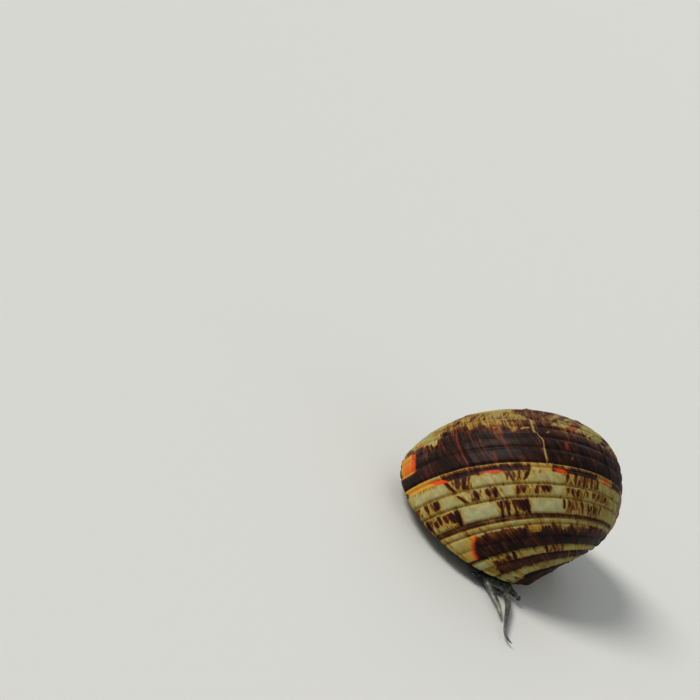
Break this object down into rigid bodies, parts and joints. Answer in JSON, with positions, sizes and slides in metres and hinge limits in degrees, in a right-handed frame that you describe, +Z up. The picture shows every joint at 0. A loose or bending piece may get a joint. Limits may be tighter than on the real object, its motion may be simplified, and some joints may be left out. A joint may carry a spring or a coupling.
{
  "type": "nerite snail",
  "caption": "Nerite snail at rest: low domed spiral-ribbed shell banded in cream and dark brown, on a flat oval foot, with feelers stretched forward.",
  "frame": {"origin": "middle of the whole at the level that the sole rests on", "axes": "+Z up; the snail faces -Y, so its right-hand side and the shell's outer lip are at -X"},
  "size_m": [0.0302, 0.0412, 0.0207],
  "materials": {
    "shell": "spiral-ribbed shell with cream, near-black and orange markings, dull to slightly wet",
    "deck": "smooth porcelain-like callus",
    "operculum": "finely grained chalky plate",
    "flesh": "moist, wrinkled, with dark lines",
    "eye": "wet black"
  },
  "bodies": {
    "root": {"shell_body_whorl": "shell", "shell_spire": "shell", "shell_outer_lip": "shell", "columellar_deck": "deck", "operculum": "operculum", "mantle_edge": "flesh", "neck": "flesh", "foot": "flesh", "head": "flesh", "tentacle_left_1": "flesh", "tentacle_left_2": "flesh", "tentacle_left_3": "flesh", "tentacle_right_1": "flesh", "tentacle_right_2": "flesh", "tentacle_right_3": "flesh", "eye_stalk_left": "flesh", "eye_stalk_right": "flesh", "eye_left": "eye", "eye_right": "eye"}
  },
  "joints": []
}
